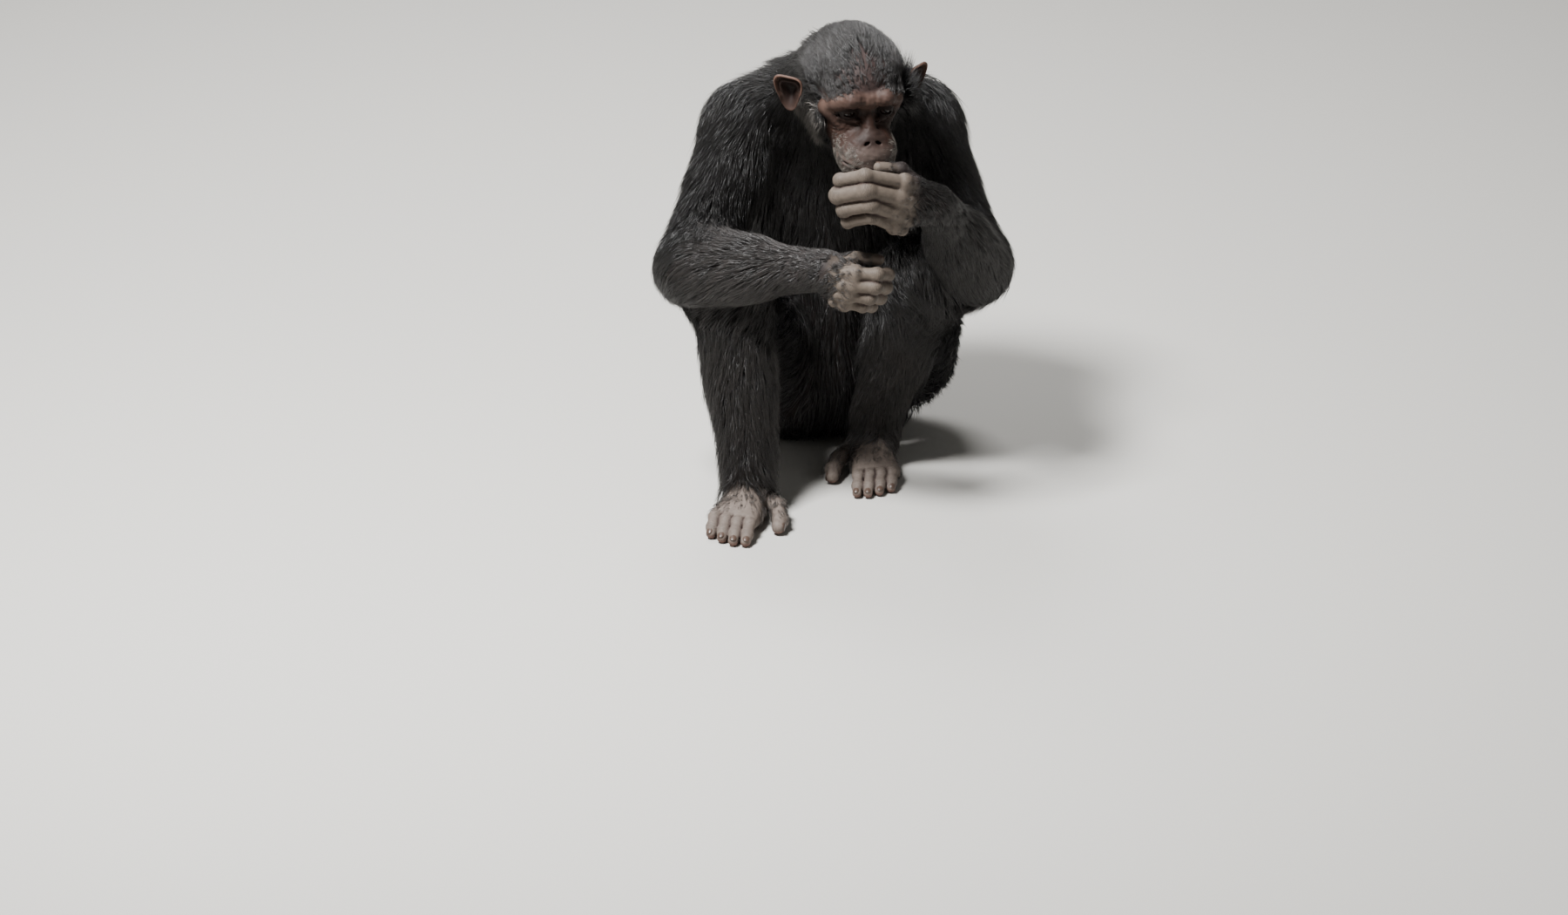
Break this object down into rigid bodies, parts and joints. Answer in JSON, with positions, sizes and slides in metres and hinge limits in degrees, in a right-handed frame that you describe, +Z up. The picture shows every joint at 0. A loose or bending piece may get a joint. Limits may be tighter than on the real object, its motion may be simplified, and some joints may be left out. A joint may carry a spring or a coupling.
{
  "type": "chimpanzee figure",
  "caption": "Life-size still figure of an adult chimpanzee with a black coat, seated on its rump with its knees up and both hands closed in front of its mouth.",
  "frame": {"origin": "middle of the seat's flat under the rump, on the floor", "axes": "+Z up; -Y the way the animal faces; -X its right side"},
  "size_m": [0.5589, 0.652, 0.7396],
  "materials": {
    "coat": "long black hair over dark skin",
    "ear_skin": "thin bare skin, pinkish brown",
    "eye": "wet, dark brown",
    "foot_skin": "creased bare skin, grey-pink",
    "hand_skin": "creased bare skin, grey-taupe"
  },
  "bodies": {
    "root": {"belly": "coat", "big_toe_left": "foot_skin", "big_toe_right": "foot_skin", "chest": "coat", "ear_left": "ear_skin", "ear_right": "ear_skin", "eye_left": "eye", "eye_right": "eye", "foot_left": "foot_skin", "foot_right": "foot_skin", "forearm_left": "coat", "forearm_right": "coat", "hand_left": "hand_skin", "hand_right": "hand_skin", "head": "coat", "index_left": "hand_skin", "index_right": "hand_skin", "little_left": "hand_skin", "little_right": "hand_skin", "middle_left": "hand_skin", "middle_right": "hand_skin", "neck": "coat", "pelvis": "coat", "ring_left": "hand_skin", "ring_right": "hand_skin", "shin_left": "coat", "shin_right": "coat", "thigh_left": "coat", "thigh_right": "coat", "thumb_left": "hand_skin", "thumb_right": "hand_skin", "toe_2_left": "foot_skin", "toe_2_right": "foot_skin", "toe_3_left": "foot_skin", "toe_3_right": "foot_skin", "toe_4_left": "foot_skin", "toe_4_right": "foot_skin", "toe_5_left": "foot_skin", "toe_5_right": "foot_skin", "upper_arm_left": "coat", "upper_arm_right": "coat"}
  },
  "joints": []
}
